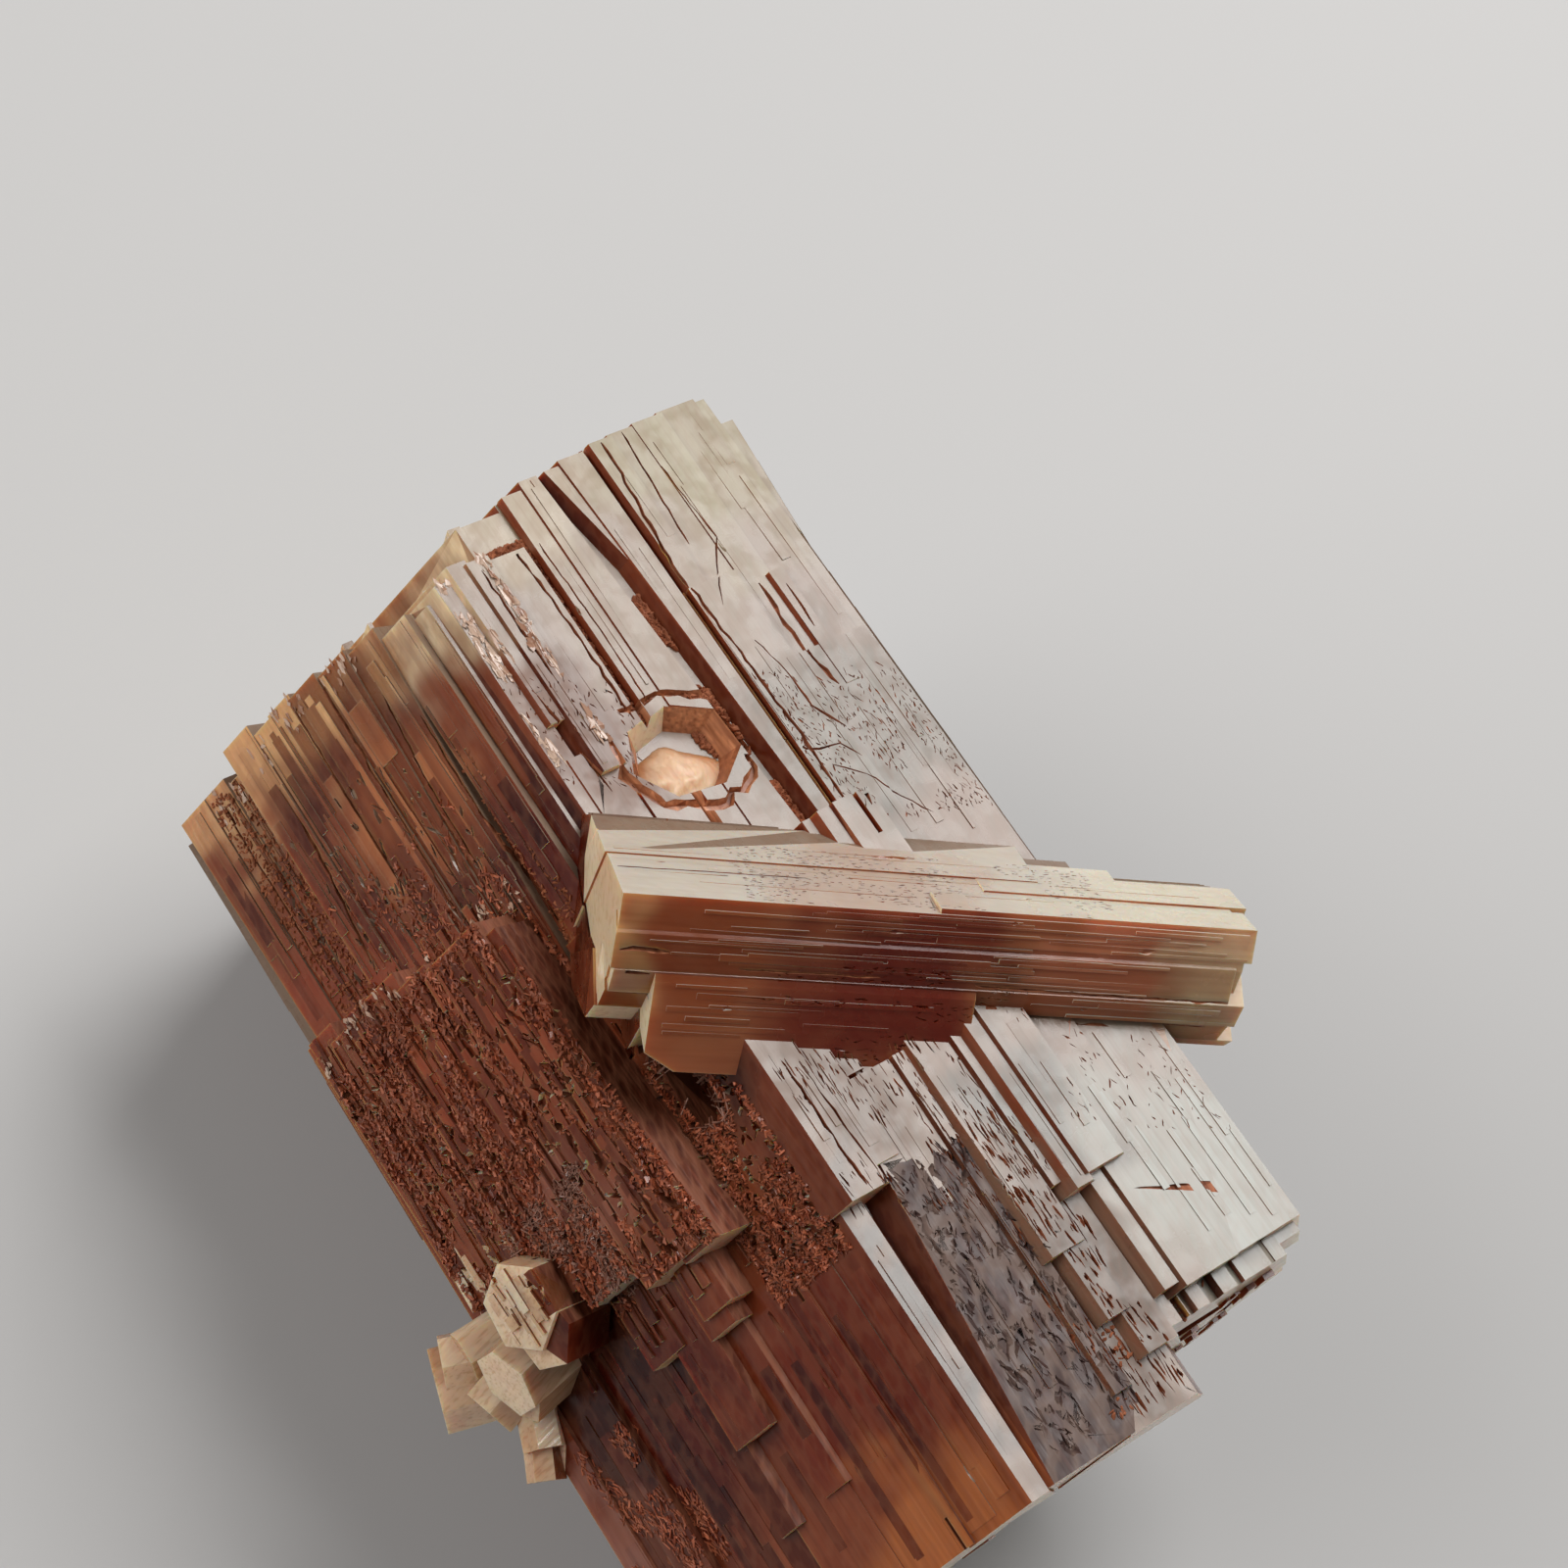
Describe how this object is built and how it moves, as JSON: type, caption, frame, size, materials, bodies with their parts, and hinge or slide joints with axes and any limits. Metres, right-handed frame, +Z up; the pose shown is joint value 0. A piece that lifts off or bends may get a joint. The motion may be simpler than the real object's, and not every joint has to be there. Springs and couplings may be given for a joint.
{
  "type": "twinned aragonite crystal",
  "caption": "Stout six-sided aragonite twin with stepped faces, lying on a side face, with a smaller prism grown across its top.",
  "frame": {"origin": "on the flat side face that the crystal rests on, midway across it and near its middle along", "axes": "+Z up from the resting face, +X along the long axis of the main twin, towards its foot end"},
  "size_m": [0.0469, 0.0369, 0.0345],
  "materials": {
    "aragonite": "glossy"
  },
  "bodies": {
    "root": {"aragonite_twin": "aragonite"}
  },
  "joints": []
}
